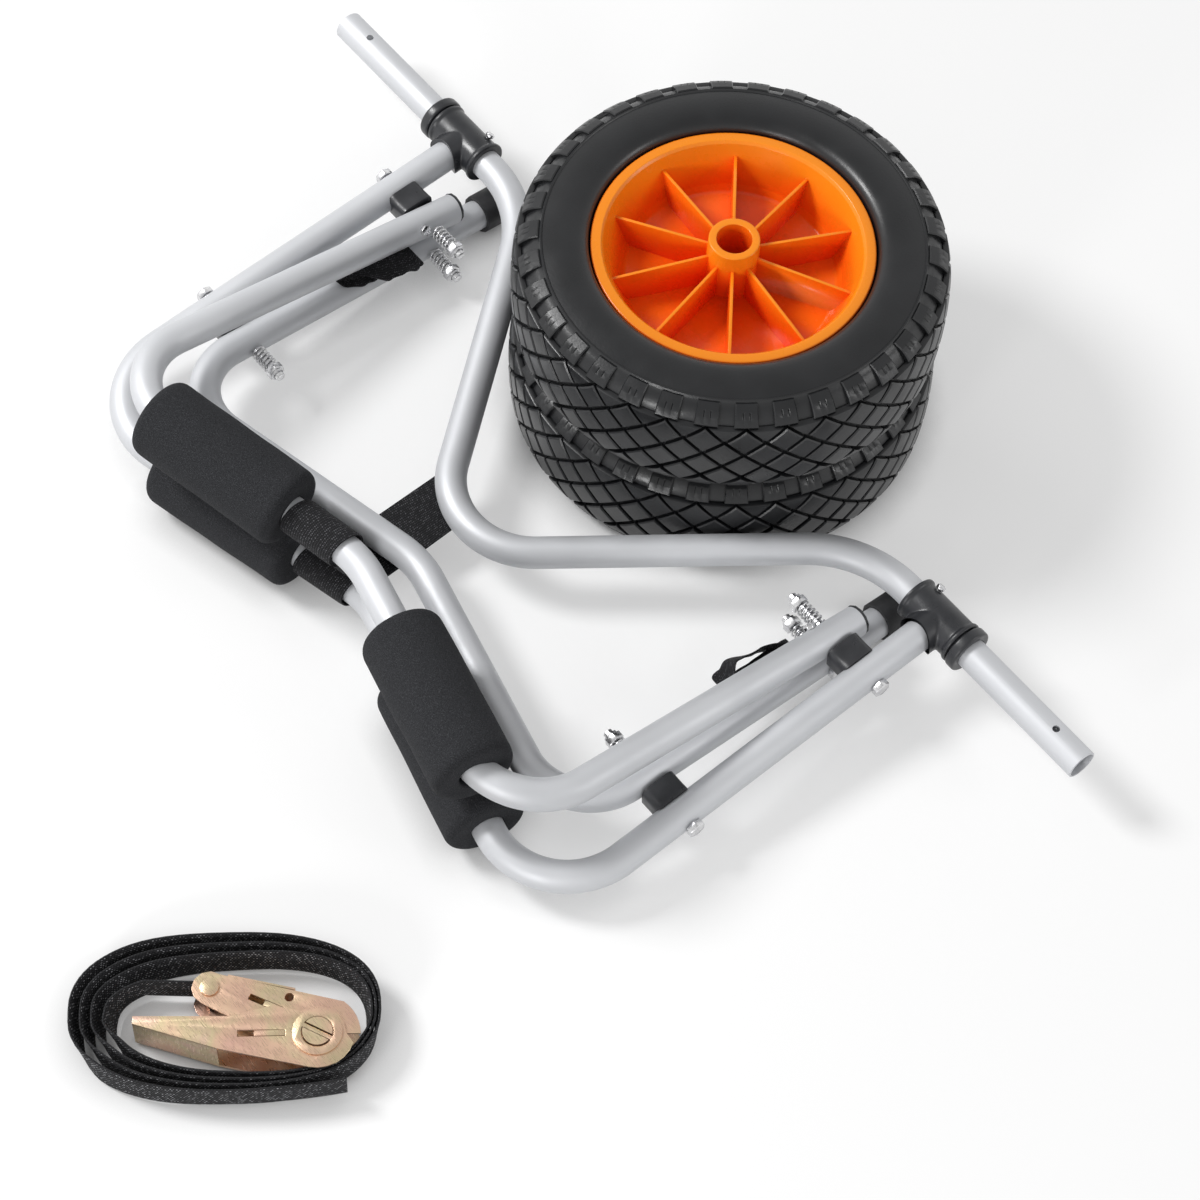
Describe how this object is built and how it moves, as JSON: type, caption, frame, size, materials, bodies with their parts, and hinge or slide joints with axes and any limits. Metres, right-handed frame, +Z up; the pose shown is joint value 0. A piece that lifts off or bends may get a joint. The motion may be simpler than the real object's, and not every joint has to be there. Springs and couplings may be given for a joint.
{
  "type": "kayak cart",
  "caption": "Folding tube cart for a small boat, packed flat: V axle, padded arms, kickstand, loose lugged wheels, ratchet strap wound beside it.",
  "frame": {"origin": "middle of the footprint of everything that lies on the floor, at floor height", "axes": "+Z up; X runs along the axle; the folded frames and the wound strap lie towards -Y, the wheels towards +Y"},
  "size_m": [0.91, 0.9144, 0.2083],
  "materials": {
    "aluminium": "satin anodised tube with faint drawn grain",
    "steel": "bright zinc plated",
    "zinc_yellow": "yellow passivated zinc, satin",
    "black_plastic": "moulded, fine grain, satin",
    "black_rubber": "matt",
    "foam": "closed cell foam, matt, fine speckle",
    "webbing": "woven polyester webbing",
    "tyre_rubber": "satin moulded rubber",
    "orange_plastic": "glossy moulded"
  },
  "bodies": {
    "chassis": {"axle_tube": "aluminium", "lower_frame": "aluminium", "centre_strap": "webbing", "tee_left": "black_plastic", "tee_collar_left": "black_plastic", "tee_screw_left": "steel", "lower_pad_left": "foam", "upper_pivot_bolt_left": "steel", "upper_pivot_spring_left": "steel", "upper_pivot_nut_left": "steel", "upper_pivot_spacer_left": "black_plastic", "stand_pivot_bolt_left": "steel", "stand_pivot_spring_left": "steel", "stand_pivot_nut_left": "steel", "stand_pivot_spacer_left": "black_plastic", "tee_right": "black_plastic", "tee_collar_right": "black_plastic", "tee_screw_right": "steel", "lower_pad_right": "foam", "upper_pivot_bolt_right": "steel", "upper_pivot_spring_right": "steel", "upper_pivot_nut_right": "steel", "upper_pivot_spacer_right": "black_plastic", "stand_pivot_bolt_right": "steel", "stand_pivot_spring_right": "steel", "stand_pivot_nut_right": "steel", "stand_pivot_spacer_right": "black_plastic"},
    "upper": {"upper_frame": "aluminium", "centre_strap_upper": "webbing", "upper_plug_left": "black_plastic", "upper_pad_left": "foam", "strap_nut_left": "steel", "side_strap_left": "webbing", "upper_plug_right": "black_plastic", "upper_pad_right": "foam", "strap_nut_right": "steel", "side_strap_right": "webbing"},
    "stand": {"stand_frame": "aluminium", "stand_foot_left": "black_rubber", "strap_anchor_bolt_left": "steel", "strap_anchor_spring_left": "steel", "strap_anchor_nut_left": "steel", "stand_foot_right": "black_rubber", "strap_anchor_bolt_right": "steel", "strap_anchor_spring_right": "steel", "strap_anchor_nut_right": "steel"},
    "wheel_lower": {"rim_lower": "orange_plastic", "tyre_lower": "tyre_rubber"},
    "wheel_upper": {"rim_upper": "orange_plastic", "tyre_upper": "tyre_rubber"},
    "ratchet": {"ratchet_base": "zinc_yellow", "ratchet_rivet": "zinc_yellow", "tie_down_webbing": "webbing"},
    "handle": {"ratchet_handle": "zinc_yellow"},
    "handle_pawl": {"ratchet_handle_pawl": "zinc_yellow"},
    "spindle": {"ratchet_spindle": "zinc_yellow"},
    "pawl": {"ratchet_pawl": "zinc_yellow"}
  },
  "joints": [
    {"name": "upper_pivot", "type": "hinge", "parent": "chassis", "child": "upper", "pos_m": [0, 0.18283, 0.05232], "axis": [-1, 0, 0], "range_deg": [0, 95], "deforming": ["centre_strap_upper", "side_strap_left", "side_strap_right"]},
    {"name": "stand_pivot", "type": "hinge", "parent": "chassis", "child": "stand", "pos_m": [0, -0.00079, 0.04053], "axis": [-1, 0, 0], "range_deg": [0, 95]},
    {"name": "wheel_lower_lift", "type": "slide", "parent": "chassis", "child": "wheel_lower", "axis": [0, 0, 1], "range_m": [0, 0.5]},
    {"name": "wheel_upper_lift", "type": "slide", "parent": "wheel_lower", "child": "wheel_upper", "axis": [0, 0, 1], "range_m": [0, 0.5]},
    {"name": "strap_lift", "type": "slide", "parent": "chassis", "child": "ratchet", "axis": [0, 0, 1], "range_m": [0, 0.25]},
    {"name": "ratchet_handle_hinge", "type": "hinge", "parent": "ratchet", "child": "handle", "pos_m": [0.26507, -0.31886, 0], "axis": [0, 0, 1], "range_deg": [-2, 6]},
    {"name": "ratchet_spindle_spin", "type": "hinge", "parent": "ratchet", "child": "spindle", "pos_m": [0.26507, -0.31886, 0], "axis": [0, 0, 1], "continuous": true},
    {"name": "ratchet_pawl_slide", "type": "slide", "parent": "ratchet", "child": "pawl", "axis": [-0.8886, -0.4587, 0], "range_m": [0, 0.004], "stiffness_N_per_m": 300},
    {"name": "handle_pawl_slide", "type": "slide", "parent": "handle", "child": "handle_pawl", "axis": [-0.6074, -0.7944, 0], "range_m": [0, 0.004], "stiffness_N_per_m": 300}
  ],
  "couplings": [
    {"joint": "stand_pivot", "follows": "upper_pivot", "ratio": 1}
  ]
}
